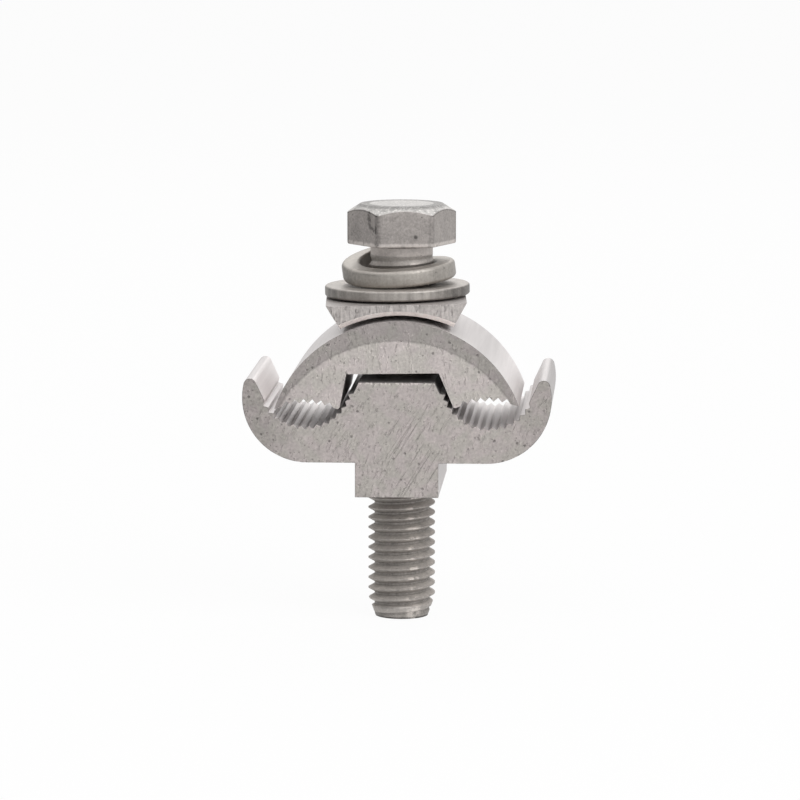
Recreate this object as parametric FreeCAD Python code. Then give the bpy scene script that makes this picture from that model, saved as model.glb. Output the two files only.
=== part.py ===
import FreeCAD, Part
import math
import os

# Parallel groove clamp: two extruded aluminium jaws, a saddle, two washers and a hexagon bolt.
# Millimetres, +Z up along the bolt, X across the two grooves, Y along the conductors.
# The origin is on the bolt axis at the underside of the lower jaw's boss.

# Both jaws are cut from extrusions to this length along Y.
jaw_length = 26.0

# Lower jaw: boss, wing, ear and hub, measured outwards from the bore and the channel.
boss_wall = 1.05
boss_height = 5.05
wing_wall = 2.9
wing_inset = 0.3
ear_end_deg = 12.6
ear_width = 1.85
ear_crown = 0.75
hub_rim = 0.5
hub_ledge_step = 0.75
hub_ledge_drop = 1.6
hub_flank = 0.8
hub_below_channel = 0.07

# The conductor channel, shared by both jaws. Its radius is to the crests of the teeth.
channel_radius = 6.5
channel_floor = 5.32
channel_tooth_depth = 0.5
channel_teeth = 14
channel_hub_deg = 196.0
channel_ear_deg = 334.0

# Upper jaw: an arch with a recess over the hub and a serrated foot in each channel. The middle of
# the recess lies recess_offset to the left of the bolt's axis.
crown_wall = 7.53
recess_gap = 1.3
recess_side_gap = 0.45
recess_offset = 0.5
foot_radius = 12.9
foot_crest_rise = 3.56
foot_toe_gap = 0.72
foot_heel_gap = 0.13
foot_toe_land = 1.32
foot_heel_land = 0.99
foot_tooth_depth = 0.62
foot_teeth = 6
foot_corner_radius = 0.4

# Saddle between the arch and the flat washer.
saddle_width = 20.45
saddle_setback = 1.0
saddle_crown = 1.55
saddle_undercut = 2.05
saddle_bevel = 0.65
saddle_left_corner = 0.85
saddle_right_corner = 1.8
seat_gap = 0.72

# Flat washer.
flat_od = 21.25
flat_thickness = 1.55
flat_edge = 0.2
flat_gap = 0.3

# Spring washer: one turn of bar, tipped on the flat washer.
spring_width = 2.8
spring_thickness = 2.6
spring_edge = 0.55
spring_rise = 2.9
spring_turn_deg = 345.0
spring_split_deg = 90.0
spring_pitch_deg = 5.4
spring_lean_deg = 6.2
spring_gap = 0.05

# Hexagon bolt, with a plain neck under the head and a chamfered end. The thread is a row of ring
# grooves over the length that stands out of the boss, its first crest thread_start above the end.
# Above them the shank keeps the outer size.
thread_diameter = 9.85
thread_pitch = 1.5
thread_depth = 0.9
thread_start = 1.5
thread_grooves = 13
bolt_length = 55.25
head_flats = 14.0
head_height = 5.9
head_turn_deg = 7.1
head_face_inset = 0.35
head_chamfer_deg = 28.0
head_gap = 0.55
neck_relief = 0.35
neck_length = 1.5
end_chamfer = 1.0

# Clearances on the bolt, on its radius.
jaw_bore_clearance = 0.075
jaw_hole_clearance = 0.83
saddle_hole_clearance = 0.88
flat_hole_clearance = 0.7
spring_hole_clearance = 0.55

# The bolt is not tightened. The upper jaw and all above it sit rolled and a little to the left.
# The saddle has turned on the bolt, and it and the washers have each slid until this much play
# is left on the tight side.
settle_roll_deg = 1.0
settle_shift = 0.1
saddle_turn_deg = 3.6
saddle_play = 0.05
flat_play = 0.05
spring_play = 0.08

# Cutting tools run this far past the faces that they cut.
over = 1.0


def vec(x, y, z):
    return FreeCAD.Vector(x, y, z)


def section_point(x, z):
    """A point of a jaw's section, in the plane of its front face."""
    return vec(x, -jaw_length / 2, z)


def on_circle(centre_x, centre_z, radius, deg):
    angle = math.radians(deg)
    return section_point(centre_x + radius * math.cos(angle), centre_z + radius * math.sin(angle))


def line(start, end):
    return Part.LineSegment(start, end).toShape()


def arc(start, middle, end):
    return Part.Arc(start, middle, end).toShape()


def polyline(points):
    return [line(a, b) for a, b in zip(points, points[1:])]


def serration(centre_x, centre_z, radius, depth, teeth, start_deg, end_deg):
    """Points of a row of V notches cut outwards from a circle, from crest to crest."""
    step = (end_deg - start_deg) / teeth
    points = [on_circle(centre_x, centre_z, radius, start_deg)]
    for tooth in range(teeth):
        crest = start_deg + tooth * step
        points.append(on_circle(centre_x, centre_z, radius + depth, crest + step / 2))
        points.append(on_circle(centre_x, centre_z, radius, crest + step))
    return points


def rounded_corner(before, corner, after, radius):
    """Start, middle and end of the arc of that radius which rounds a corner between two lines."""
    back = (before - corner).normalize()
    ahead = (after - corner).normalize()
    half_angle = back.getAngle(ahead) / 2
    middle_line = (back + ahead).normalize()
    centre = corner + middle_line * (radius / math.sin(half_angle))
    run = radius / math.tan(half_angle)
    return corner + back * run, centre - middle_line * radius, corner + ahead * run


def extrusion(right_edges, left_edges):
    """A bar along Y from the halves of its section, the left one drawn on the right and mirrored."""
    right, left = [
        Part.Face(Part.Wire(Part.__sortEdges__(edges))).extrude(vec(0, jaw_length, 0))
        for edges in (right_edges, left_edges)
    ]
    return right.fuse(left.mirror(vec(0, 0, 0), vec(1, 0, 0))).removeSplitter()


def upright_hole(radius, low_z, high_z):
    return Part.makeCylinder(radius, high_z - low_z, vec(0, 0, low_z))


def one_solid(shape):
    solids = shape.Solids
    if len(solids) != 1:
        raise ValueError("expected one solid, got %d" % len(solids))
    return solids[0]


# Across the clamp, each size worked out from the bolt outwards.
thread_radius = thread_diameter / 2
bore_radius = thread_radius + jaw_bore_clearance
hub_top_x = bore_radius + hub_rim
hub_ledge_x = hub_top_x + hub_ledge_step
channel_x = hub_ledge_x + hub_flank - channel_radius * math.cos(math.radians(channel_hub_deg))

# Up the clamp, each level worked out from the piece below.
channel_z = boss_height + channel_floor + channel_radius
hub_top_z = channel_z - hub_below_channel
recess_z = hub_top_z + recess_gap
crown_z = recess_z + crown_wall
foot_centre_z = channel_z - channel_radius + foot_crest_rise - foot_radius


def foot_angle(gap):
    """Degrees from the top of the foot's arc to where it lies inside the channel's crests by gap."""
    rise = channel_z - foot_centre_z
    reach = channel_radius - gap
    cosine = (foot_radius ** 2 + rise ** 2 - reach ** 2) / (2 * foot_radius * rise)
    return math.degrees(math.acos(cosine))


foot_toe_deg = 90 - foot_angle(foot_toe_gap)
foot_heel_deg = 90 + foot_angle(foot_heel_gap)
toe = on_circle(channel_x, foot_centre_z, foot_radius, foot_toe_deg)
heel = on_circle(channel_x, foot_centre_z, foot_radius, foot_heel_deg)

# The arch runs through both toes and the crown.
arch_rise = crown_z - toe.z
arch_radius = (toe.x ** 2 + arch_rise ** 2) / (2 * arch_rise)
arch_centre_z = crown_z - arch_radius

saddle_top_z = crown_z + seat_gap + saddle_crown
saddle_length = jaw_length - 2 * saddle_setback
flat_z = saddle_top_z + flat_gap
spring_z = flat_z + flat_thickness + spring_gap


def settled(shape, shift):
    """Roll a piece about Y, right side up, and slide it to the left by shift."""
    placed = shape.copy()
    placed.rotate(vec(0, 0, recess_z), vec(0, 1, 0), -settle_roll_deg)
    placed.translate(vec(-shift, 0, 0))
    return placed


def slide_to_bolt(clearance, play, top_z):
    """How far a rolled piece slides before the top of its hole is within play of the bolt."""
    return clearance - play - (top_z - recess_z) * math.sin(math.radians(settle_roll_deg))


def lower_jaw():
    """Boss, two wings that turn up into ears, two serrated channels and the tapped hub."""
    wing_radius = channel_radius + wing_wall
    wing_x = channel_x - wing_inset
    wing_z = boss_height + wing_radius
    ear_outer = on_circle(wing_x, wing_z, wing_radius, ear_end_deg)
    ear_inner = ear_outer - vec(ear_width, 0, 0)
    ear_top = (ear_outer + ear_inner) * 0.5 + vec(0, 0, ear_crown)
    teeth = serration(channel_x, channel_z, channel_radius, channel_tooth_depth,
                      channel_teeth, channel_ear_deg, channel_hub_deg)
    wing_mid = on_circle(wing_x, wing_z, wing_radius, (ear_end_deg - 90) / 2)
    wing_start = section_point(wing_x, boss_height)
    boss_x = bore_radius + boss_wall
    edges = polyline([
        section_point(0, hub_top_z),
        section_point(0, 0),
        section_point(boss_x, 0),
        section_point(boss_x, boss_height),
        wing_start,
    ])
    edges.append(arc(wing_start, wing_mid, ear_outer))
    edges.append(arc(ear_outer, ear_top, ear_inner))
    edges += polyline([ear_inner] + teeth + [
        section_point(hub_ledge_x, hub_top_z - hub_ledge_drop),
        section_point(hub_top_x, hub_top_z),
        section_point(0, hub_top_z),
    ])
    bore = upright_hole(bore_radius, -over, hub_top_z + over)
    return one_solid(extrusion(edges, edges).cut(bore))


def arch_half(recess_x):
    """Edges of one half of the upper jaw, its foot hollowed and serrated, its recess recess_x wide."""
    crown = section_point(0, crown_z)
    toe_deg = math.degrees(math.atan2(toe.z - arch_centre_z, toe.x))
    shoulder = on_circle(0, arch_centre_z, arch_radius, (toe_deg + 90) / 2)
    ceiling = section_point(recess_x, recess_z)
    first_deg = foot_toe_deg + math.degrees(foot_toe_land / foot_radius)
    last_deg = foot_heel_deg - math.degrees(foot_heel_land / foot_radius)
    teeth = serration(channel_x, foot_centre_z, foot_radius, foot_tooth_depth,
                      foot_teeth, first_deg, last_deg)
    heel_start, heel_middle, heel_end = rounded_corner(teeth[-1], heel, ceiling, foot_corner_radius)
    edges = [arc(crown, shoulder, toe), arc(heel_start, heel_middle, heel_end)]
    edges += polyline([toe] + teeth + [heel_start])
    edges += polyline([heel_end, ceiling, section_point(0, recess_z), crown])
    return edges


def upper_jaw():
    """Arch over the hub, with a foot in each channel."""
    recess_x = hub_ledge_x + recess_side_gap
    bar = extrusion(arch_half(recess_x - recess_offset), arch_half(recess_x + recess_offset))
    hole = upright_hole(thread_radius + jaw_hole_clearance, recess_z - over, crown_z + over)
    return settled(one_solid(bar.cut(hole)), settle_shift)


def corner_cut(side, end, size, low_z, high_z):
    """A three-sided prism that takes off one upright corner of the saddle at 45 degrees."""
    x = side * (saddle_width / 2 + over)
    y = end * (saddle_length / 2 + over)
    leg = size + 2 * over
    corners = [vec(x, y, low_z), vec(x - side * leg, y, low_z), vec(x, y - end * leg, low_z)]
    return Part.Face(Part.makePolygon(corners + corners[:1])).extrude(vec(0, 0, high_z - low_z))


def saddle():
    """Block with a flat top, sides that draw in downwards and a seat that follows the arch."""
    seat_radius = arch_radius + seat_gap
    half_top = saddle_width / 2
    half_base = half_top - saddle_undercut
    base_z = arch_centre_z + math.sqrt(seat_radius ** 2 - half_base ** 2)
    front = -saddle_length / 2
    outline = Part.makePolygon([
        vec(-half_top, front, saddle_top_z),
        vec(-half_base, front, base_z),
        vec(half_base, front, base_z),
        vec(half_top, front, saddle_top_z),
        vec(-half_top, front, saddle_top_z),
    ])
    block = Part.Face(outline).extrude(vec(0, saddle_length, 0))
    axis_start = vec(0, front - over, arch_centre_z)
    along = vec(0, 1, 0)
    tools = [Part.makeCylinder(seat_radius, saddle_length + 2 * over, axis_start, along)]
    for end in (-1, 1):
        face = vec(0, end * saddle_length / 2, arch_centre_z)
        tools.append(Part.makeCone(seat_radius + saddle_bevel, seat_radius, saddle_bevel,
                                   face, vec(0, -end, 0)))
        for side, size in ((-1, saddle_left_corner), (1, saddle_right_corner)):
            tools.append(corner_cut(side, end, size, base_z - over, saddle_top_z + over))
    tools.append(upright_hole(thread_radius + saddle_hole_clearance, base_z, saddle_top_z + over))
    cut_block = one_solid(block.cut(tools))
    cut_block.rotate(vec(0, 0, 0), vec(0, 0, 1), saddle_turn_deg)
    shift = slide_to_bolt(saddle_hole_clearance, saddle_play, saddle_top_z)
    return settled(cut_block, shift)


def broken_section(centre_x, width, height, edge):
    """A rectangle in the XZ plane with its four corners cut at 45 degrees, centred at height 0."""
    half_x, half_z = width / 2, height / 2
    corner = [(half_x, half_z - edge), (half_x - edge, half_z)]
    quarter_turns = [
        corner,
        [(-x, z) for x, z in reversed(corner)],
        [(-x, -z) for x, z in corner],
        [(x, -z) for x, z in reversed(corner)],
    ]
    points = [vec(centre_x + x, 0, z) for quarter in quarter_turns for x, z in quarter]
    return Part.makePolygon(points + points[:1])


def flat_washer():
    """Turned ring with lightly broken edges."""
    inner = thread_radius + flat_hole_clearance
    width = flat_od / 2 - inner
    section = broken_section(inner + width / 2, width, flat_thickness, flat_edge)
    ring = Part.Face(section).revolve(vec(0, 0, 0), vec(0, 0, 1), 360)
    ring.translate(vec(0, 0, flat_z + flat_thickness / 2))
    shift = slide_to_bolt(flat_hole_clearance, flat_play, flat_z + flat_thickness)
    return settled(one_solid(ring), shift)


def spring_washer():
    """One turn of bar wound left hand, split at the back and tipped as it lies loose."""
    turn = spring_turn_deg / 360
    mean_radius = thread_radius + spring_hole_clearance + spring_width / 2
    helix = Part.makeHelix(spring_rise, spring_rise * turn, mean_radius, 0, True)
    section = broken_section(mean_radius, spring_width, spring_thickness, spring_edge)
    coil = Part.Wire(helix.Edges).makePipeShell([section], True, True)
    split_half = (360 - spring_turn_deg) / 2
    coil.translate(vec(0, 0, -spring_rise * turn / 2))
    coil.rotate(vec(0, 0, 0), vec(0, 0, 1), spring_split_deg - split_half)
    coil.rotate(vec(0, 0, 0), vec(1, 0, 0), spring_pitch_deg)
    coil.rotate(vec(0, 0, 0), vec(0, 1, 0), -spring_lean_deg)
    box = coil.optimalBoundingBox(False, False)
    coil.translate(vec(0, 0, spring_z - box.ZMin))
    shift = slide_to_bolt(spring_hole_clearance, spring_play, spring_z + box.ZLength)
    return settled(one_solid(coil), shift)


def shank(head_z):
    """Chamfered end, ring grooves, plain length and neck, turned as one profile."""
    end_z = head_z - bolt_length
    neck_z = head_z - neck_length
    neck_radius = thread_radius - neck_relief
    profile = [
        vec(0, 0, end_z),
        vec(thread_radius - end_chamfer, 0, end_z),
        vec(thread_radius, 0, end_z + end_chamfer),
        vec(thread_radius, 0, end_z + thread_start),
    ]
    for groove in range(thread_grooves):
        low_crest = end_z + thread_start + groove * thread_pitch
        profile.append(vec(thread_radius - thread_depth, 0, low_crest + thread_pitch / 2))
        profile.append(vec(thread_radius, 0, low_crest + thread_pitch))
    profile += [
        vec(thread_radius, 0, neck_z),
        vec(neck_radius, 0, neck_z),
        vec(neck_radius, 0, head_z),
        vec(0, 0, head_z),
        vec(0, 0, end_z),
    ]
    return Part.Face(Part.makePolygon(profile)).revolve(vec(0, 0, 0), vec(0, 0, 1), 360)


def bolt(head_z):
    """Hexagon head with a turned chamfer, plain neck, threaded shank and chamfered end."""
    head_radius = head_flats / math.sqrt(3)
    corners = [
        vec(head_radius * math.cos(math.radians(60 * i + head_turn_deg)),
            head_radius * math.sin(math.radians(60 * i + head_turn_deg)), head_z)
        for i in range(7)
    ]
    head = Part.Face(Part.makePolygon(corners)).extrude(vec(0, 0, head_height))
    face_radius = head_flats / 2 - head_face_inset
    reach = head_radius + over
    drop = (reach - face_radius) * math.tan(math.radians(head_chamfer_deg))
    top_z = head_z + head_height
    crown = Part.makeCone(reach, face_radius, drop, vec(0, 0, top_z - drop))
    body = Part.makeCylinder(reach, head_height, vec(0, 0, top_z - drop - head_height))
    head = head.common(crown.fuse(body))
    return one_solid(head.fuse(shank(head_z)))


def main():
    os.makedirs("parts", exist_ok=True)
    spring = spring_washer()
    head_z = spring.optimalBoundingBox(False, False).ZMax + head_gap
    pieces = {
        "lower_jaw": lower_jaw(),
        "upper_jaw": upper_jaw(),
        "saddle": saddle(),
        "flat_washer": flat_washer(),
        "spring_washer": spring,
        "bolt": bolt(head_z),
    }
    for name, shape in pieces.items():
        shape.exportStep(os.path.join("parts", name + ".step"))
        box = shape.optimalBoundingBox(False, False)
        print("%-14s valid %s  volume %8.1f  x %7.2f %7.2f  y %7.2f %7.2f  z %7.2f %7.2f" % (
            name, shape.isValid(), shape.Volume,
            box.XMin, box.XMax, box.YMin, box.YMax, box.ZMin, box.ZMax))


main()
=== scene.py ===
import math

import bmesh
import bpy
import numpy as np
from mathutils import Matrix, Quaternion, Vector


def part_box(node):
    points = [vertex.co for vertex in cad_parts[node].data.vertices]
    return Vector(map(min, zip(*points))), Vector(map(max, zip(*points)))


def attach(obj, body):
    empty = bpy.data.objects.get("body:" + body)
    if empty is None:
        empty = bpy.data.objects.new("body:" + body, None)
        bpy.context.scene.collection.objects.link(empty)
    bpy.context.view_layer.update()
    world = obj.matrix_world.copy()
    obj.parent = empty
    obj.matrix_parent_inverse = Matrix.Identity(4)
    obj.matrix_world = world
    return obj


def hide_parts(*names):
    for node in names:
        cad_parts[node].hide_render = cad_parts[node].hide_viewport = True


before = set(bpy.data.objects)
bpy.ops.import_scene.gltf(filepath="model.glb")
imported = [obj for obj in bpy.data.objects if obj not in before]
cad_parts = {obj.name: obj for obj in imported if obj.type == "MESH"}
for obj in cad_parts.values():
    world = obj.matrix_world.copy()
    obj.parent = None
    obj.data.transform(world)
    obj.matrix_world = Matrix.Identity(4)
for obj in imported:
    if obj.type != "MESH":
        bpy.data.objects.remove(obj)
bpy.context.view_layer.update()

MM = 0.001

# Camera: its lens, and where it stands from a point near the middle of the clamp, in metres.
LENS_MM = 203.7
SENSOR_MM = 36.0
AZIMUTH = math.radians(3.30)
ELEVATION = math.radians(7.84)
DISTANCE = 0.66684
NEAREST_SEEN = 0.01
TARGET = (-0.00025, 0.0, 0.0125)

# Light: three soft lamps, each with its place and side in metres and its power in watts, a dark card, a
# pale room and a pale floor, which the camera sees as white by the share FLOOR_WHITE.
LAMPS = {
    "upper_left": ((-0.35, -0.45, 0.75), 0.8, 1.9),
    "upper_right": ((0.52, -0.50, 0.50), 0.6, 3.7),
    "upper_back": ((0.0, 0.6, 0.6), 0.5, 0.9),
}
CARD_PLACE = (-0.50, -0.25, 0.10)
CARD_SIDE = 0.45
CARD_TONE = (0.02, 0.02, 0.02, 1.0)
ROOM_TONE = (1.0, 0.995, 0.985, 1.0)
ROOM_STRENGTH = 0.52
FLOOR_TONE = (0.9, 0.9, 0.9, 1.0)
FLOOR_ROUGHNESS = 0.9
FLOOR_WHITE = 0.94
FLOOR_SIDE = 6.0
FLOOR_GAP_MM = 0.05

# Bolt, in millimetres.
THREAD_RADIUS = 4.925
ROOT_RADIUS = 4.0
PITCH = 1.5
CREST_Z = -2.68
RUN_OUT = 3.4
NECK_RADIUS = 4.575
NECK_LENGTH = 1.5
NECK_GROOVE_DEPTH = 0.12
HEAD_HEIGHT = 5.9
HEAD_FLATS = 14.0
HEAD_CORNER_RADIUS = 7.97
HEAD_FACE_RADIUS = 6.1
HEAD_TURN = math.radians(7.1)
HEAD_CHAMFER_SLOPE = math.tan(math.radians(32.0))
HEAD_LOWER_ROUND = 0.28
HEAD_UPPER_ROUND = 0.12
END_CHAMFER = 1.05
END_TAPER = 0.36
BOLT_TOP_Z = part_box("bolt")[1].z / MM
BOLT_END_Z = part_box("bolt")[0].z / MM
HEAD_Z = BOLT_TOP_Z - HEAD_HEIGHT
NECK_Z = HEAD_Z - NECK_LENGTH

# Where the mesh of the bolt has its lines. Corner steps are degrees from a corner of the head. The other
# steps are millimetres from an edge, and the radii are of rings on the head's top. The shares are of the
# height of the flats, of the way in along the cone and of the end's radius. The phases are shares of a
# pitch from a crest, and a flank runs between two shares of half a pitch.
CORNER_STEPS = (0.9, 1.7, 2.6, 5.0, 9.0, 14.0, 19.0, 24.5)
UNDERSIDE_STEP = 0.8
FLAT_SHARES = (0.3, 0.6, 0.85)
CONE_SHARES = (0.0, 0.3, 0.6, 0.9, 1.0)
TOP_STEP = 0.25
TOP_RADII = (4.5, 2.5, 1.0, 0.0)
NECK_STEP = 0.5
GROOVE_STEP = 0.35
GROOVE_MIDDLE_STEP = 0.2
END_SHARES = (1.0, 0.92, 0.5, 0.0)
THREAD_PHASES = (0.0, 0.05, 0.12, 0.24, 0.36, 0.42, 0.5, 0.58, 0.64, 0.76, 0.88, 0.95)
FLANK_START = 0.10
FLANK_END = 0.80

# Marks on the bolt, in millimetres: a curved stain, a rough patch and a dent on the head and a rubbed place
# near the end, each with its reach, and how far right a painted highlight runs down the thread.
HEAD_STAIN = (-3.4, -7.1, BOLT_TOP_Z - 1.5, 2.9)
HEAD_ROUGH = (-6.4, -2.9, BOLT_TOP_Z - 4.2, 2.4)
HEAD_DENT = (2.4, -6.6, BOLT_TOP_Z - 4.3, 0.5)
END_WEAR = (1.9, -3.6, BOLT_END_Z + 0.9, 1.9)
HIGHLIGHT_LINE_X = 1.9

# Spring washer, in millimetres.
SPRING_INNER_RADIUS = 5.475
SPRING_WIDTH = 2.8
SPRING_THICKNESS = 2.6
SPRING_ROUND = 0.6
SPRING_RISE = 2.9
SPRING_TURN = math.radians(345.0)
SPRING_START = math.radians(82.5)
SPRING_PITCH = math.radians(5.4)
SPRING_LEAN = math.radians(7.2)
SPRING_ROWS = 181

# How far a face turns towards the front or the back, from 0 to 1: a sawn end, and the broken edge round it.
END_FACING = (0.55, 0.8)
EDGE_FACING = (0.12, 0.35, 0.9, 0.985)

# Places on the jaws, in millimetres: across from the bolt's axis either way (SIDE) or to the right (X),
# and up from the boss's underside (Z). Two numbers are where a mark starts to show and where it is full.
# Four also give where it starts to fade and where it ends.
HUB_TOP_Z = 16.8
HUB_EDGE_SIDE = (5.8, 5.4)
BOSS_CORNER_SIDE = 5.0
UNDERSIDE_Z = (0.5, 0.0)
GRIME_Z = (2.4, 0.4)
SCORED_SIDE = (9.5, 6.0)
WINGS_SIDE = (9.0, 21.0)
LEFT_EAR_X = (-14.0, -20.5)
RIGHT_EAR_X = (17.0, 20.5)
TOOTHED_SIDE = (6.5, 8.0, 17.5, 18.5)
TOOTHED_Z = (13.0, 11.0)
EAR_SIDE_Z = (8.0, 10.0)
LEFT_EAR_SIDE_X = (-10.0, -14.0)
RIGHT_EAR_SIDE_X = (13.0, 16.0)
RIGHT_TEETH_X = (0.0, 6.0)
RECESS_SIDE = (8.6, 8.0)
RECESS_Z = (12.0, 13.0, 21.0, 21.5)

# The dull crescent on the upper jaw's end lies outside a circle on the bolt's axis: the height of its
# centre and its radius, in millimetres.
DULL_BAND = (3.0, 19.8)

# Edges that sawing and stamping leave slightly broken. An edge is broken past one angle and stays sharp
# past another, faces closer than FLAT_ANGLE are one, and points closer than a weld are merged.
SAWN_EDGE = 0.09 * MM
EDGE_ANGLE = math.radians(24.0)
SMOOTH_ANGLE = math.radians(32.0)
FLAT_ANGLE = math.radians(0.4)
WELD = 0.002 * MM
CAD_WELD = 0.001 * MM


class Value:
    """A shader socket. Arithmetic on values adds the Math nodes that work it out."""

    def __init__(self, finish, socket):
        self.finish = finish
        self.socket = socket

    def math(self, operation, *others):
        """One Math node on this value and others."""
        inputs = {index: other for index, other in enumerate((self,) + others)}
        return self.finish.node("ShaderNodeMath", {"operation": operation}, inputs)

    def __add__(self, other):
        return self.math("ADD", other)

    __radd__ = __add__

    def __sub__(self, other):
        return self.math("SUBTRACT", other)

    def __rsub__(self, other):
        return self.math("MULTIPLY_ADD", -1.0, other)

    def __mul__(self, other):
        return self.math("MULTIPLY", other)

    __rmul__ = __mul__

    def size(self):
        """The value without its sign."""
        return self.math("ABSOLUTE")

    def most(self, other):
        """The larger of two values."""
        return self.math("MAXIMUM", other)

    def root(self):
        """The square root."""
        return self.math("SQRT")

    def swing(self):
        """How far a noise is above or below its middle."""
        return self - 0.5

    def rise(self, low, high):
        """0 below low, 1 above high and a smooth climb between them; low may be the larger."""
        if low > high:
            return 1 - self.rise(high, low)
        settings = {"interpolation_type": "SMOOTHSTEP"}
        return self.finish.node("ShaderNodeMapRange", settings, {
            "Value": self, "From Min": low, "From Max": high,
        })

    def within(self, start, full, last, end):
        """1 from full to last, falling smoothly to 0 at start and at end."""
        return self.rise(start, full) * self.rise(end, last)


class Finish:
    """A node material on object coordinates in millimetres, built by expressions."""

    def __init__(self, name):
        self.material = bpy.data.materials.new(name)
        self.material.use_nodes = True
        self.tree = self.material.node_tree
        self.shader = self.tree.nodes["Principled BSDF"]
        place = self.node("ShaderNodeTexCoord", {}, {}, "Object")
        scaled = {0: place, "Scale": 1 / MM}
        self.place = self.node("ShaderNodeVectorMath", {"operation": "SCALE"}, scaled, "Vector")
        self.x, self.y, self.z = self.parts(self.place)
        facing = self.node("ShaderNodeTexCoord", {}, {}, "Normal")
        self.facing_x, self.facing_y, self.facing_z = self.parts(facing)

    def node(self, kind, settings, inputs, output=0):
        """Add a node: its settings first, then the values or links of its sockets."""
        made = self.tree.nodes.new(kind)
        for key, value in settings.items():
            setattr(made, key, value)
        by_identifier = {socket.identifier: socket for socket in made.inputs}
        for key, value in inputs.items():
            socket = by_identifier[key] if key in by_identifier else made.inputs[key]
            if isinstance(value, Value):
                self.tree.links.new(value.socket, socket)
            else:
                socket.default_value = value
        outputs = {socket.identifier: socket for socket in made.outputs}
        return Value(self, outputs[output] if output in outputs else made.outputs[output])

    def parts(self, vector):
        """The x, y and z of a vector."""
        split = self.node("ShaderNodeSeparateXYZ", {}, {"Vector": vector})
        sockets = split.socket.node.outputs
        return [Value(self, sockets[axis]) for axis in ("X", "Y", "Z")]

    def mapped(self, stretch, turn):
        """The place turned about Y by turn degrees and then scaled per axis."""
        turned = self.node("ShaderNodeVectorRotate", {"rotation_type": "Y_AXIS"}, {
            "Vector": self.place, "Angle": math.radians(turn),
        }, "Vector")
        scale = {0: turned, 1: stretch}
        return self.node("ShaderNodeVectorMath", {"operation": "MULTIPLY"}, scale, "Vector")

    def noise(self, per_mm, turn=0.0, detail=3.0, rough=0.55):
        """Noise of 0 to 1 with that many grains a millimetre, or one number for each turned axis."""
        stretch = per_mm if isinstance(per_mm, tuple) else (per_mm,) * 3
        return self.node("ShaderNodeTexNoise", {}, {
            "Vector": self.mapped(stretch, turn), "Scale": 1.0, "Detail": detail, "Roughness": rough,
        })

    def pits(self, per_mm, size, share):
        """Round specks in a share of the cells of a random grid with that many cells a millimetre: 0 past
        size cells from the middle of a speck, full over its inner third, and some fainter than others."""
        cells = {"Vector": self.mapped((per_mm,) * 3, 0.0), "Scale": 1.0}
        away = self.node("ShaderNodeTexVoronoi", {}, cells, "Distance")
        colour = Value(self, away.socket.node.outputs["Color"])
        chance, spread, _ = self.parts(colour)
        chosen = chance.rise(1 - share, 1 - share + 0.02)
        return away.rise(size, size * 0.35) * chosen * (0.4 + 0.6 * spread)

    def spot(self, x, y, z, radius):
        """1 at a point of the object, falling to 0 at radius millimetres from it."""
        away = self.node("ShaderNodeVectorMath", {"operation": "DISTANCE"}, {
            0: self.place, 1: (x, y, z),
        }, "Value")
        return away.rise(radius, 0.0)

    def blend(self, amount, first, second):
        """A colour between first and second."""
        return self.node("ShaderNodeMix", {"data_type": "RGBA"}, {
            "Factor_Float": amount,
            "A_Color": first if isinstance(first, Value) else (*first, 1.0),
            "B_Color": second if isinstance(second, Value) else (*second, 1.0),
        }, "Result_Color")

    def shaded(self, colour, light):
        """A colour multiplied by a value."""
        scale = {0: colour, "Scale": light}
        return self.node("ShaderNodeVectorMath", {"operation": "SCALE"}, scale, "Vector")

    def wear(self, colour, roughness, metallic, height, depth_mm):
        """Feed the shader: what varies goes to its colour, roughness, metallic and normal."""
        bump = self.node("ShaderNodeBump", {}, {
            "Height": height, "Strength": 1.0, "Distance": depth_mm * MM,
        }, "Normal")
        for socket, value in (("Base Color", colour), ("Roughness", roughness),
                              ("Metallic", metallic), ("Normal", bump)):
            if isinstance(value, Value):
                self.tree.links.new(value.socket, self.shader.inputs[socket])
            else:
                self.shader.inputs[socket].default_value = value
        return self.material


def linear(red, green, blue):
    """A colour from its 0 to 255 screen values to the linear values of a shader."""
    return tuple((c / 255) ** 2.2 for c in (red, green, blue))


def saw_scores(finish, patches, turn, along_z):
    """Long fine scores, each a dark line with a light rim, mostly in the middle of the jaw."""
    drag = finish.noise((3.0, 0.2, along_z), turn=turn, detail=1.0)
    scored = finish.x.size().rise(*SCORED_SIDE).most(0.3) * patches.rise(0.44, 0.60)
    return (1.5 * drag.rise(0.67, 0.71) - drag.rise(0.62, 0.65)) * scored


def saw_gouges(finish, mottle, turn):
    """Short torn gouges, each a dark leaf with a light rim."""
    tear = finish.noise((2.8, 0.3, 0.6), turn=turn, detail=2.5)
    return (tear.rise(0.61, 0.67) - 0.6 * tear.rise(0.55, 0.60)) * mottle.rise(0.38, 0.56)


def outer_shade(finish):
    """How much darker a jaw's sawn end gets towards the ears."""
    return (0.08 * finish.x.size().rise(*WINGS_SIDE) + 0.15 * finish.x.rise(*LEFT_EAR_X)
            + 0.08 * finish.x.rise(*RIGHT_EAR_X))


def dull_crescent(finish, mottle, centre_z, radius):
    """What a dull crescent outside a circle, with a darker line along the circle, leaves of the light on
    the front end: 1 inside the circle and on the back end."""
    height = finish.z - centre_z
    from_centre = (finish.x * finish.x + height * height).root()
    beyond = from_centre - radius - 0.5 * mottle.swing()
    dull = 0.33 * beyond.rise(-0.15, 0.15) + 0.12 * beyond.within(-0.25, -0.05, 0.05, 0.3)
    return 1 - dull * finish.facing_y.rise(-0.3, -0.7)


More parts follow.
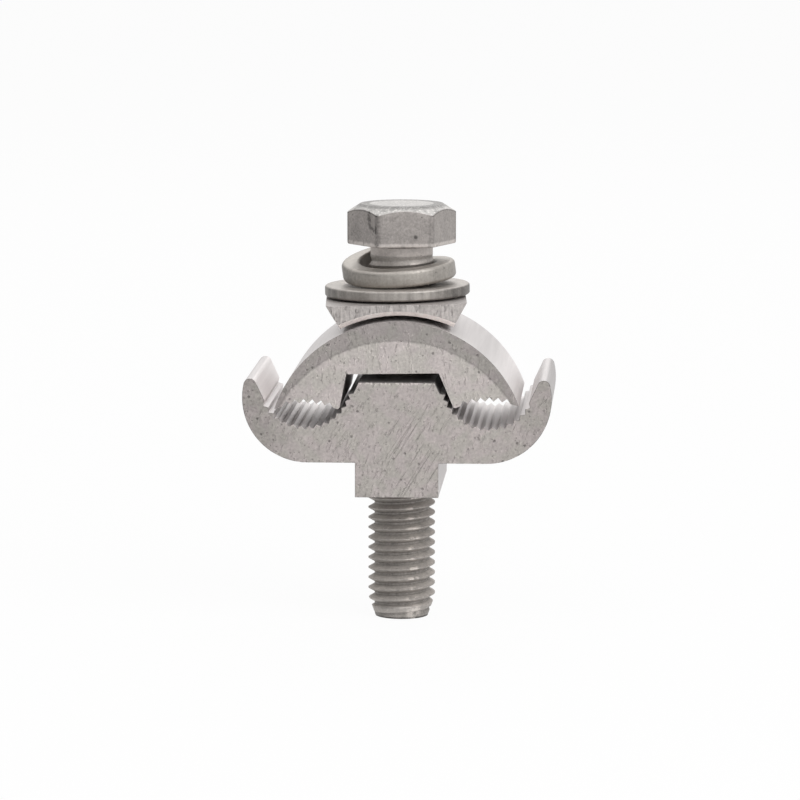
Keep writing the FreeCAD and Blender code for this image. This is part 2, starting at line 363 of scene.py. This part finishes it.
def sawn_face(finish, tone, patches, mottle, scores, gouges, gouge_dark, band):
    """Colour and height of a jaw's sawn ends: scores, gouges, pits, bright specks, grime at the boss's
    lower corners, a burr along the hub's top, and the dull crescent where there is one."""
    grain = finish.noise(2.6, rough=0.6)
    pits = finish.pits(0.62, 0.16, 0.8).most(0.8 * finish.pits(1.5, 0.24, 0.5))
    specks = finish.pits(1.9, 0.26, 0.35)
    by_boss_corner = (finish.x.size() - BOSS_CORNER_SIDE).size().rise(1.6, 0.2)
    grime = by_boss_corner * finish.z.rise(*GRIME_Z) * mottle.rise(0.42, 0.58)
    by_hub_top = finish.x.size().rise(*HUB_EDGE_SIDE) * (finish.z - HUB_TOP_Z).size().rise(0.45, 0.15)
    burr = by_hub_top * grain.rise(0.47, 0.55)
    light = (1.01 + 0.14 * patches.swing() + 0.36 * mottle.swing() + 0.66 * grain.swing()
             - 0.15 * scores - gouge_dark * gouges - 0.46 * pits + 0.24 * specks
             - outer_shade(finish) - 0.16 * grime + 0.45 * burr)
    if band:
        light = light * dull_crescent(finish, mottle, *band)
    cool = linear(*(level - step for level, step in zip(tone, (5, 2, 5))))
    tint = finish.noise(0.38, detail=1.5).rise(0.40, 0.60)
    colour = finish.shaded(finish.blend(tint, cool, linear(*tone)), light)
    height = 0.5 * mottle + 0.5 * grain - 0.7 * scores - 0.8 * gouges - pits
    return colour, height


def drawn_side(finish, drawn, toothed, left_ear_painted_light, right_ear_painted_light):
    """Colour of a jaw's drawn sides: faint streaks along the bar, dust, painted light on the teeth, painted
    shade in the recess, blotches on the boss's underside, and painted light of its own on what faces right
    at each ear."""
    dust = finish.pits(0.5, 0.10, 0.4)
    # Painted light: the teeth in the channels made brighter, more so on the right.
    tooth_painted_light = (0.14 + 0.26 * finish.x.rise(*RIGHT_TEETH_X)) * toothed
    by_ears = left_ear_painted_light * finish.x.rise(*LEFT_EAR_SIDE_X) + right_ear_painted_light * finish.x.rise(*RIGHT_EAR_SIDE_X)
    # Painted light on what faces right at the left and the right ear.
    ear_painted_light = finish.facing_x.rise(0.2, 0.6) * finish.z.rise(*EAR_SIDE_Z) * by_ears
    # Painted shade in the recess.
    recess_shade = finish.x.size().rise(*RECESS_SIDE) * finish.z.within(*RECESS_Z)
    blotches = finish.z.rise(*UNDERSIDE_Z) * (finish.noise((1.0, 1.4, 0.12), detail=2.0) - 0.42)
    light = (0.95 + 0.20 * drawn.swing() - 0.30 * dust + tooth_painted_light + ear_painted_light
             - 0.15 * recess_shade + 0.90 * blotches)
    return finish.shaded(finish.blend(drawn, linear(203, 198, 197), linear(211, 207, 206)), light)


def jaw_aluminium(name, tone, painted_side_light, score_turn, score_along_z, gouge_turn, gouge_dark, band=None):
    """Smooth drawn sides, and ends sawn across Y with scores, gouges, pits and dull patches. The tone is
    that of the sawn ends, the turns of scores and gouges are in degrees, and the two side-light gains are
    painted light on what faces right on the left and the right ear."""
    finish = Finish(name)
    frontal = finish.facing_y.size()
    end = frontal.rise(*END_FACING)
    patches = finish.noise(0.16)
    mottle = finish.noise(0.8, detail=4.0, rough=0.6)
    drawn = finish.noise((1.6, 0.05, 1.6))
    toothed = finish.x.size().within(*TOOTHED_SIDE) * finish.z.rise(*TOOTHED_Z)
    scores = saw_scores(finish, patches, score_turn, score_along_z)
    gouges = saw_gouges(finish, mottle, gouge_turn)
    sawn, sawn_height = sawn_face(finish, tone, patches, mottle, scores, gouges, gouge_dark, band)
    side = drawn_side(finish, drawn, toothed, *painted_side_light)
    worn = finish.noise(1.3, detail=2.0).rise(0.52, 0.66)
    # Broken edges of the ends: darker, lighter where worn, and a painted highlight along the teeth's edges.
    dark_edge_and_tooth_highlight = 0.60 - 0.75 * worn - 0.7 * toothed * mottle.rise(0.40, 0.55)
    edge_light = 1 - frontal.within(*EDGE_FACING) * dark_edge_and_tooth_highlight
    colour = finish.shaded(finish.blend(end, side, sawn), edge_light)
    roughness = 0.47 - 0.10 * toothed * (1 - end) + 0.10 * drawn + end * (0.05 + 0.16 * patches)
    metallic = 0.85 - 0.50 * end
    height = sawn_height * end + 0.1 * drawn * (1 - end)
    return finish.wear(colour, roughness, metallic, height, 0.12)


def saddle_aluminium():
    """Paler aluminium with upright saw striations on its ends, painted light on the bevel along the seat
    and a painted highlight along the top edges.
    """
    finish = Finish("saddle_aluminium")
    frontal = finish.facing_y.size()
    end = frontal.rise(*END_FACING)
    patches = finish.noise(0.25)
    mottle = finish.noise(0.9, detail=4.0, rough=0.6)
    striae = finish.noise((3.6, 0.3, 0.5), turn=2.0)
    gouges = finish.noise((2.6, 0.3, 0.8), turn=-3.0, detail=2.0).rise(0.58, 0.68)
    pits = finish.pits(1.2, 0.2, 0.5)
    grain = finish.noise(2.8, rough=0.6)
    bevel = finish.facing_z.rise(-0.08, -0.25) * frontal.rise(0.15, 0.30)
    # Painted highlight along the top edges of the ends.
    top_edge_highlight = frontal.within(*EDGE_FACING) * finish.facing_z.rise(0.1, 0.3)
    # Painted light on the bevel along the seat.
    bevel_painted_light = (1.15 + 0.8 * mottle.swing()) * bevel
    end_light = end * (1 - bevel) * (0.5 * mottle.swing() + 1.1 * striae.swing() - 0.30 * gouges)
    light = (0.87 + 0.20 * patches.swing() + 0.7 * grain.swing() - 0.36 * pits
             + bevel_painted_light + 0.5 * top_edge_highlight * mottle.rise(0.42, 0.55) + end_light)
    tone = finish.blend(patches, linear(176, 170, 167), linear(190, 184, 181))
    height = end * (striae - 0.6 * gouges) + 0.4 * grain - 0.6 * pits
    return finish.wear(finish.shaded(tone, light), 0.42 + 0.15 * patches, 0.55, height, 0.07)


def washer_steel(name, tone, wall_streaks, left_shade, right_shade):
    """Dull plated steel with faint rolled streaks and small specks."""
    finish = Finish(name)
    patches = finish.noise(0.3)
    grain = finish.noise(2.6)
    streaks = finish.noise((1.3, 1.3, 0.1))
    pits = finish.pits(0.9, 0.16, 0.5)
    # Painted shade on what faces left and right, and painted light on what faces up.
    side_shade = right_shade * finish.facing_x.rise(0.45, 0.85) + left_shade * finish.facing_x.rise(-0.5, -0.9)
    light = (0.92 + 0.30 * patches.swing() + 0.55 * grain.swing() + wall_streaks * streaks.swing()
             - 0.4 * pits + 0.32 * finish.facing_z.rise(0.5, 0.9) - side_shade)
    paler = linear(*(level + 12 for level in tone))
    colour = finish.shaded(finish.blend(patches, linear(*tone), paler), light)
    roughness = 0.34 + 0.20 * patches + 0.08 * grain
    return finish.wear(colour, roughness, 0.85, 0.6 * grain - 0.8 * pits, 0.05)


def head_marks_and_painted_light(finish, above_neck, radius, top, mottle, grain):
    """Light added to or taken from the head and neck by wear, a stain, a rough patch, a dent and painted
    light and shade, and the stain among them.
    """
    below_top = BOLT_TOP_Z - finish.z
    on_side = (1 - top) * radius.rise(5.5, 6.0)
    left_side = finish.facing_x.rise(-0.3, -0.8)
    rubbed = top * (grain.rise(0.54, 0.60) + below_top.rise(0.25, 0.5) * mottle.rise(0.35, 0.5))
    cone = top * below_top.rise(0.05, 0.4)
    # Lighter lower edge: rubbed wear, and painted light from below on its rounding.
    lower_edge = (finish.z - HEAD_Z).rise(0.74, 0.46) * mottle.rise(0.30, 0.45) * on_side
    below_arc = below_top - (radius - HEAD_FACE_RADIUS) * HEAD_CHAMFER_SLOPE
    upper_edge = below_arc.rise(0.30, 0.05) * on_side * (0.3 + 0.7 * finish.facing_x.size().rise(0.3, 0.6))
    # Painted shade on the rounded corners.
    corner = radius.rise(7.72, 7.92) * on_side
    neck = above_neck * radius.rise(4.8, 4.6)
    near_stain = finish.spot(*HEAD_STAIN) + 0.9 * mottle.swing()
    hollow = 1 - 0.8 * near_stain.rise(0.40, 0.60)
    stain = near_stain.rise(0.10, 0.26) * hollow * grain.rise(0.36, 0.50) * left_side
    rough_spot = left_side * finish.spot(*HEAD_ROUGH).rise(0.1, 0.5) * grain.rise(0.50, 0.57)
    dent = finish.spot(*HEAD_DENT).rise(0.0, 0.6)
    # Painted light on what faces right; painted shade on the left faces and, a little, the top.
    lighter = (0.35 * rubbed + 0.30 * cone + 0.56 * lower_edge + 0.52 * neck
               + 0.10 * finish.facing_x.rise(0.3, 0.8))
    darker = (0.50 * stain + 0.5 * dent + 0.45 * upper_edge + 0.20 * corner + 0.02 * left_side
              + 0.35 * rough_spot + 0.02 * top)
    return lighter - darker, stain


def thread_marks_and_painted_light(finish, radius, mottle):
    """Light that the thread's worn end, specks and darker end rim add or take away, with painted light on
    its crests and flanks, painted shade in its valleys and a painted highlight down it.
    """
    # Painted light on the crests and both flanks, painted shade in the valleys.
    crest = radius.rise(ROOT_RADIUS + 0.1, THREAD_RADIUS - 0.12)
    valley = radius.rise(ROOT_RADIUS + 0.22, ROOT_RADIUS + 0.02)
    upper_flank = finish.facing_z.rise(0.1, 0.5)
    lower_flank = finish.facing_z.rise(-0.1, -0.5)
    # A painted highlight down the thread, right of its axis, broken by mottle.
    by_highlight = (finish.x - HIGHLIGHT_LINE_X).size().rise(1.4, 0.3)
    line = by_highlight * mottle.rise(0.42, 0.56) * radius.rise(4.5, 4.8)
    worn = finish.spot(*END_WEAR).rise(0.05, 0.7) * mottle.rise(0.36, 0.52)
    end_rim = (finish.z - BOLT_END_Z).rise(0.35, 0.15)
    specks = finish.pits(1.7, 0.24, 0.4)
    return (0.22 * upper_flank + 0.30 * lower_flank + 0.12 * crest - 0.18 * valley
            + 0.40 * specks + 0.75 * line - 0.50 * end_rim + 0.6 * worn)


def bolt_steel():
    """Dull plated steel: a pitted head with a dark stain, rubbed edges and painted light and shade, and a
    darker thread with painted light and shade.
    """
    finish = Finish("bolt_steel")
    radius = (finish.x * finish.x + finish.y * finish.y).root()
    above_neck = finish.z.rise(NECK_Z - 0.2, NECK_Z + 0.1)
    patches = finish.noise(0.22, detail=4.0)
    mottle = finish.noise(1.0)
    grain = finish.noise(3.0, rough=0.6)
    pits = finish.pits(0.9, 0.17, 0.45)
    top = finish.facing_z.rise(0.3, 0.75)
    marks_and_painted_light, stain = head_marks_and_painted_light(finish, above_neck, radius, top, mottle, grain)
    head_light = (0.88 + 0.30 * patches.swing() + 0.40 * mottle.swing()
                  + (0.90 - 0.45 * top) * grain.swing() - 0.40 * pits + marks_and_painted_light)
    side_tone = finish.blend(patches, linear(158, 153, 150), linear(168, 162, 158))
    head_colour = finish.shaded(finish.blend(top, side_tone, linear(165, 163, 161)), head_light)
    thread_light = (0.83 + 0.24 * patches.swing() + 0.45 * mottle.swing() + 0.80 * grain.swing()
                    - 0.25 * pits + thread_marks_and_painted_light(finish, radius, mottle))
    thread_tone = finish.blend(patches, linear(160, 155, 151), linear(174, 169, 164))
    thread_colour = finish.shaded(thread_tone, thread_light)
    colour = finish.blend(above_neck, thread_colour, head_colour)
    roughness = 0.44 + 0.20 * patches + 0.1 * grain + 0.1 * stain + 0.18 * top
    return finish.wear(colour, roughness, 0.82, 0.5 * mottle + 0.2 * grain - pits, 0.05)


def new_piece(name, mesh):
    """An object for a mesh, smooth but for its sharp edges."""
    mesh.polygons.foreach_set("use_smooth", np.ones(len(mesh.polygons), dtype=bool))
    mesh.set_sharp_from_angle(angle=SMOOTH_ANGLE)
    piece = bpy.data.objects.new(name, mesh)
    bpy.context.scene.collection.objects.link(piece)
    return piece


def mesh_piece(name, vertices, faces):
    """A closed mesh from arrays in millimetres: its doubles merged and its faces turned outward."""
    mesh = bpy.data.meshes.new(name)
    mesh.from_pydata(np.asarray(vertices) * MM, [], faces)
    shape = bmesh.new()
    shape.from_mesh(mesh)
    bmesh.ops.remove_doubles(shape, verts=shape.verts, dist=WELD)
    bmesh.ops.dissolve_degenerate(shape, edges=shape.edges, dist=WELD / 2)
    bmesh.ops.recalc_face_normals(shape, faces=shape.faces)
    shape.to_mesh(mesh)
    shape.free()
    return new_piece(name, mesh)


def grid_quads(rows, columns, first=0, seam_shift=0):
    """Quads of a grid whose columns close on themselves, the last meeting the first seam_shift rows up."""
    row, column = np.meshgrid(np.arange(rows - 1), np.arange(columns), indexing="ij")
    after = (column + 1) % columns
    lift = np.where(column == columns - 1, seam_shift, 0)
    a = row * columns + column
    b = (row + lift) * columns + after
    quads = np.stack([a, b, b + columns, a + columns], axis=-1).reshape(-1, 4)
    kept = (row + lift + 1 < rows).reshape(-1)
    return quads[kept] + first


def head_angles():
    """Angles round the bolt, close together at the six corners of the head."""
    steps = np.array(CORNER_STEPS)
    sector = np.concatenate([-steps[::-1], [0.0], steps, [30.0]])
    degrees = (sector[None, :] + 60.0 * np.arange(6)[:, None]).reshape(-1)
    return np.radians(np.sort(degrees % 360.0)) + HEAD_TURN


def ring_stack(angles, profile):
    """Rings round Z, one for each (radius, height) of a profile; both may vary with the angle."""
    rings = []
    for radius, height in profile:
        spread = np.broadcast_to(radius, angles.shape)
        level = np.broadcast_to(height, angles.shape)
        rings.append(np.stack([spread * np.cos(angles), spread * np.sin(angles), level], axis=1))
    return np.concatenate(rings)


def hexagon_radius(angles):
    """Half the flats over the cosine of the angle from the nearest flat, cut off at the corner radius."""
    from_corner = (angles - HEAD_TURN) % math.radians(60.0)
    from_flat = from_corner - math.radians(30.0)
    return np.minimum(HEAD_FLATS / 2 / np.cos(from_flat), HEAD_CORNER_RADIUS)


def head_profile(angles):
    """From the neck out along the underside, round its edge, up the flats to the cone that cuts their
    corners, in along the cone and over the top face. Heights on the flats are shares of the way from the
    rounded lower edge to the cone, whose height falls with the radius."""
    wall = hexagon_radius(angles)
    cone_z = np.minimum(BOLT_TOP_Z - (wall - HEAD_FACE_RADIUS) * HEAD_CHAMFER_SLOPE, BOLT_TOP_Z)
    profile = [(NECK_RADIUS, HEAD_Z), (NECK_RADIUS + UNDERSIDE_STEP, HEAD_Z)]
    for turn in np.linspace(0.0, math.pi / 2, 5):
        profile.append((wall - HEAD_LOWER_ROUND * (1 - math.sin(turn)),
                        HEAD_Z + HEAD_LOWER_ROUND * (1 - math.cos(turn))))
    flat_height = cone_z - HEAD_Z - HEAD_LOWER_ROUND - HEAD_UPPER_ROUND
    for share in FLAT_SHARES:
        profile.append((wall, HEAD_Z + HEAD_LOWER_ROUND + share * flat_height))
    profile.append((wall, cone_z - HEAD_UPPER_ROUND))
    profile.append((wall - 0.3 * HEAD_UPPER_ROUND, cone_z - 0.35 * HEAD_UPPER_ROUND))
    for share in CONE_SHARES:
        inset = HEAD_UPPER_ROUND + share * (wall - HEAD_UPPER_ROUND - HEAD_FACE_RADIUS)
        profile.append((wall - inset, np.minimum(cone_z + inset * HEAD_CHAMFER_SLOPE, BOLT_TOP_Z)))
    for radius in (HEAD_FACE_RADIUS - TOP_STEP, *TOP_RADII):
        profile.append((radius, BOLT_TOP_Z))
    return profile


def neck_profile():
    """Up the plain neck, with a shallow groove just below the head."""
    return [
        (NECK_RADIUS, NECK_Z),
        (NECK_RADIUS, NECK_Z + NECK_STEP),
        (NECK_RADIUS, HEAD_Z - GROOVE_STEP),
        (NECK_RADIUS - NECK_GROOVE_DEPTH, HEAD_Z - GROOVE_MIDDLE_STEP),
        (NECK_RADIUS, HEAD_Z),
    ]


def groove_depth(phase):
    """Depth of the groove over one pitch: 0 on the narrow crest, 1 in the root and a straight flank."""
    from_crest = np.abs((phase + 0.5) % 1.0 - 0.5) * 2
    return np.clip((from_crest - FLANK_START) / (FLANK_END - FLANK_START), 0.0, 1.0)


def thread_grid(angles):
    """Rows of points that climb one pitch a turn, and near the neck and the end flatten onto a ring. The
    radius is the crest less the groove's depth, which fades out below the neck, and never more than the
    cone of the end's chamfer."""
    turns = int((NECK_Z - BOLT_END_Z) / PITCH) + 4
    starts = (np.arange(turns)[:, None] + np.array(THREAD_PHASES)[None, :]).reshape(-1)
    first_turn = math.floor((BOLT_END_Z - CREST_Z) / PITCH) - 1
    climb = angles / (2 * math.pi)
    free_z = CREST_Z + PITCH * (first_turn + starts[:, None] + climb[None, :])
    level = np.clip(free_z, BOLT_END_Z, NECK_Z)
    fade = np.clip((NECK_Z - level) / RUN_OUT, 0.0, 1.0)
    groove = (THREAD_RADIUS - ROOT_RADIUS) * groove_depth(starts)[:, None]
    radius = THREAD_RADIUS - groove * fade - (THREAD_RADIUS - NECK_RADIUS) * (1 - fade)
    radius = np.minimum(radius, THREAD_RADIUS - END_CHAMFER + END_TAPER * (level - BOLT_END_Z))
    return np.stack([radius * np.cos(angles), radius * np.sin(angles), level], axis=-1)


def bolt():
    """A threaded grid whose last column meets its first one pitch up, and rings round Z that close its
    end and make its neck and head."""
    angles = head_angles()
    columns = len(angles)
    thread = thread_grid(angles)
    rows = len(thread)
    vertices = [thread.reshape(-1, 3)]
    faces = [grid_quads(rows, columns, 0, len(THREAD_PHASES))]
    total = rows * columns
    end_profile = [((THREAD_RADIUS - END_CHAMFER) * share, BOLT_END_Z) for share in END_SHARES]
    for profile in (end_profile, neck_profile(), head_profile(angles)):
        rings = ring_stack(angles, profile)
        vertices.append(rings)
        faces.append(grid_quads(len(profile), columns, total))
        total += len(rings)
    piece = mesh_piece("threaded_bolt", np.concatenate(vertices), np.concatenate(faces).tolist())
    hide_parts("bolt")
    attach(piece, "screw")
    return piece


def rounded_bar(width, height, radius, arc_points=6):
    """Outline of a bar's section: four quarter circles of that radius at the corners of a rectangle."""
    turn = np.linspace(0.0, math.pi / 2, arc_points)
    corners = [(1, 1, 0.0), (-1, 1, 0.5), (-1, -1, 1.0), (1, -1, 1.5)]
    points = [
        np.stack([side * (width / 2 - radius) + radius * np.cos(turn + half_turns * math.pi),
                  level * (height / 2 - radius) + radius * np.sin(turn + half_turns * math.pi)], axis=1)
        for side, level, half_turns in corners
    ]
    return np.concatenate(points)


def spring_washer():
    """The section goes round a left-hand helix: outwards along the radius at each angle, upwards along Z,
    rising in proportion to the angle. The coil is then tipped about X and Y and put where the solid is."""
    section = rounded_bar(SPRING_WIDTH, SPRING_THICKNESS, SPRING_ROUND)
    along = np.linspace(0.0, SPRING_TURN, SPRING_ROWS)
    angle = (SPRING_START - along)[:, None]
    radius = SPRING_INNER_RADIUS + SPRING_WIDTH / 2 + section[None, :, 0]
    rise = SPRING_RISE * (along / (2 * math.pi))[:, None]
    coil = np.stack([radius * np.cos(angle), radius * np.sin(angle), section[None, :, 1] + rise], axis=-1)
    rows, columns = coil.shape[:2]
    points = coil.reshape(-1, 3)
    c, s = math.cos(SPRING_PITCH), math.sin(SPRING_PITCH)
    points = points @ np.array([[1, 0, 0], [0, c, -s], [0, s, c]]).T
    c, s = math.cos(-SPRING_LEAN), math.sin(-SPRING_LEAN)
    points = points @ np.array([[c, 0, s], [0, 1, 0], [-s, 0, c]]).T
    low, high = (np.array(corner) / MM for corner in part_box("spring_washer"))
    points += (low + high) / 2 - (points.min(axis=0) + points.max(axis=0)) / 2
    faces = grid_quads(rows, columns).tolist()
    faces.append(list(range(columns))[::-1])
    faces.append(list(range((rows - 1) * columns, rows * columns)))
    piece = mesh_piece("coiled_spring_washer", points, faces)
    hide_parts("spring_washer")
    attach(piece, "jaw_stack")
    return piece


def broken_edges(node, name, body):
    """The node's own shape with its sharp edges slightly broken."""
    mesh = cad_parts[node].data.copy()
    mesh.name = name
    mesh.materials.clear()
    shape = bmesh.new()
    shape.from_mesh(mesh)
    bmesh.ops.remove_doubles(shape, verts=shape.verts, dist=CAD_WELD)
    bmesh.ops.dissolve_limit(shape, angle_limit=FLAT_ANGLE, verts=shape.verts, edges=shape.edges)
    shape.to_mesh(mesh)
    shape.free()
    piece = new_piece(name, mesh)
    bevel = piece.modifiers.new("broken_edge", "BEVEL")
    bevel.width = SAWN_EDGE
    bevel.segments = 2
    bevel.limit_method = "ANGLE"
    bevel.angle_limit = EDGE_ANGLE
    bevel.harden_normals = False
    even = piece.modifiers.new("even_faces", "WEIGHTED_NORMAL")
    even.keep_sharp = True
    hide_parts(node)
    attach(piece, body)
    return piece


def turned_to_clamp(place):
    """The turn that makes something at a place face the clamp."""
    return (Vector(place) - Vector(TARGET)).to_track_quat("Z", "Y")


def add_camera():
    """A long lens in front of the clamp, a little to its right and above it."""
    back = Vector((
        math.sin(AZIMUTH) * math.cos(ELEVATION),
        -math.cos(AZIMUTH) * math.cos(ELEVATION),
        math.sin(ELEVATION),
    ))
    camera = bpy.data.objects.new("camera", bpy.data.cameras.new("camera"))
    camera.data.lens = LENS_MM
    camera.data.sensor_width = SENSOR_MM
    camera.data.clip_start = NEAREST_SEEN
    camera.location = Vector(TARGET) + back * DISTANCE
    camera.rotation_euler = back.to_track_quat("Z", "Y").to_euler()
    bpy.context.scene.collection.objects.link(camera)
    bpy.context.scene.camera = camera


def add_softbox(name, place, side, power):
    """A square area lamp that faces the clamp."""
    lamp = bpy.data.lights.new(name, "AREA")
    lamp.energy = power
    lamp.size = side
    box = bpy.data.objects.new(name, lamp)
    box.location = place
    box.rotation_euler = turned_to_clamp(place).to_euler()
    bpy.context.scene.collection.objects.link(box)


def add_sheet(name, side, turn, place, material):
    """A flat square of a material, turned and put in its place, as part of the studio."""
    half = side / 2
    corners = [(-half, -half, 0), (half, -half, 0), (half, half, 0), (-half, half, 0)]
    mesh = bpy.data.meshes.new(name)
    mesh.from_pydata([turn @ Vector(corner) + Vector(place) for corner in corners], [], [(0, 1, 2, 3)])
    mesh.materials.append(material)
    sheet = bpy.data.objects.new(name, mesh)
    bpy.context.scene.collection.objects.link(sheet)
    return sheet


def plain_material(name, tone):
    """A material of one colour, and its shader."""
    material = bpy.data.materials.new(name)
    material.use_nodes = True
    shader = material.node_tree.nodes["Principled BSDF"]
    shader.inputs["Base Color"].default_value = tone
    return material, shader


def seen_white(tree, shader, share, output):
    """Mix a shader with plain white where the camera, a reflection or glass looks at it, and feed the
    output of that name with the mix."""
    path = tree.nodes.new("ShaderNodeLightPath")
    seen = path.outputs["Is Camera Ray"]
    for ray in ("Is Glossy Ray", "Is Transmission Ray"):
        either = tree.nodes.new("ShaderNodeMath")
        either.operation = "MAXIMUM"
        tree.links.new(seen, either.inputs[0])
        tree.links.new(path.outputs[ray], either.inputs[1])
        seen = either.outputs[0]
    part = tree.nodes.new("ShaderNodeMath")
    part.operation = "MULTIPLY"
    part.inputs[1].default_value = share
    tree.links.new(seen, part.inputs[0])
    white = tree.nodes.new("ShaderNodeEmission")
    white.inputs["Strength"].default_value = 1.0
    mix = tree.nodes.new("ShaderNodeMixShader")
    for socket, source in zip(mix.inputs, (part, shader, white)):
        tree.links.new(source.outputs[0], socket)
    tree.links.new(mix.outputs[0], tree.nodes[output].inputs["Surface"])


def add_studio():
    """A pale floor under the bolt's end, a pale room, three soft lamps, and a dark card on the left that
    only reflections and shadows see."""
    scene = bpy.context.scene
    scene.view_settings.view_transform = "Standard"
    world = bpy.data.worlds.new("pale_room")
    world.use_nodes = True
    scene.world = world
    room = world.node_tree.nodes["Background"]
    room.inputs["Color"].default_value = ROOM_TONE
    room.inputs["Strength"].default_value = ROOM_STRENGTH
    seen_white(world.node_tree, room, 1.0, "World Output")
    for name, (place, side, power) in LAMPS.items():
        add_softbox(name, place, side, power)
    dark, _ = plain_material("left_flag", CARD_TONE)
    card = add_sheet("left_flag", CARD_SIDE, turned_to_clamp(CARD_PLACE), CARD_PLACE, dark)
    card.visible_camera = False
    pale, shader = plain_material("pale_floor", FLOOR_TONE)
    shader.inputs["Roughness"].default_value = FLOOR_ROUGHNESS
    seen_white(pale.node_tree, shader, FLOOR_WHITE, "Material Output")
    floor_z = (BOLT_END_Z - FLOOR_GAP_MM) * MM
    add_sheet("floor", FLOOR_SIDE, Quaternion(), (0.0, 0.0, floor_z), pale)


add_camera()
add_studio()
pieces = {
    "lower_jaw": broken_edges("lower_jaw", "sawn_lower_jaw", "base"),
    "upper_jaw": broken_edges("upper_jaw", "sawn_upper_jaw", "jaw_stack"),
    "saddle": broken_edges("saddle", "sawn_saddle", "jaw_stack"),
    "flat_washer": broken_edges("flat_washer", "rolled_flat_washer", "jaw_stack"),
    "spring_washer": spring_washer(),
    "bolt": bolt(),
}
finishes = {
    "lower_jaw": jaw_aluminium(
        "lower_jaw_aluminium", tone=(179, 171, 169), painted_side_light=(0.42, -0.24),
        score_turn=-32.0, score_along_z=0.03, gouge_turn=-20.0, gouge_dark=0.20),
    "upper_jaw": jaw_aluminium(
        "upper_jaw_aluminium", tone=(189, 181, 179), painted_side_light=(0.0, 0.24),
        score_turn=12.0, score_along_z=0.2, gouge_turn=-4.0, gouge_dark=0.56, band=DULL_BAND),
    "saddle": saddle_aluminium(),
    "flat_washer": washer_steel(
        "flat_washer_steel", tone=(155, 150, 145), wall_streaks=0.8, left_shade=0.40, right_shade=0.44),
    "spring_washer": washer_steel(
        "spring_washer_steel", tone=(157, 152, 146), wall_streaks=0.4, left_shade=0.36, right_shade=0.05),
    "bolt": bolt_steel(),
}
for node, piece in pieces.items():
    piece.data.materials.append(finishes[node])
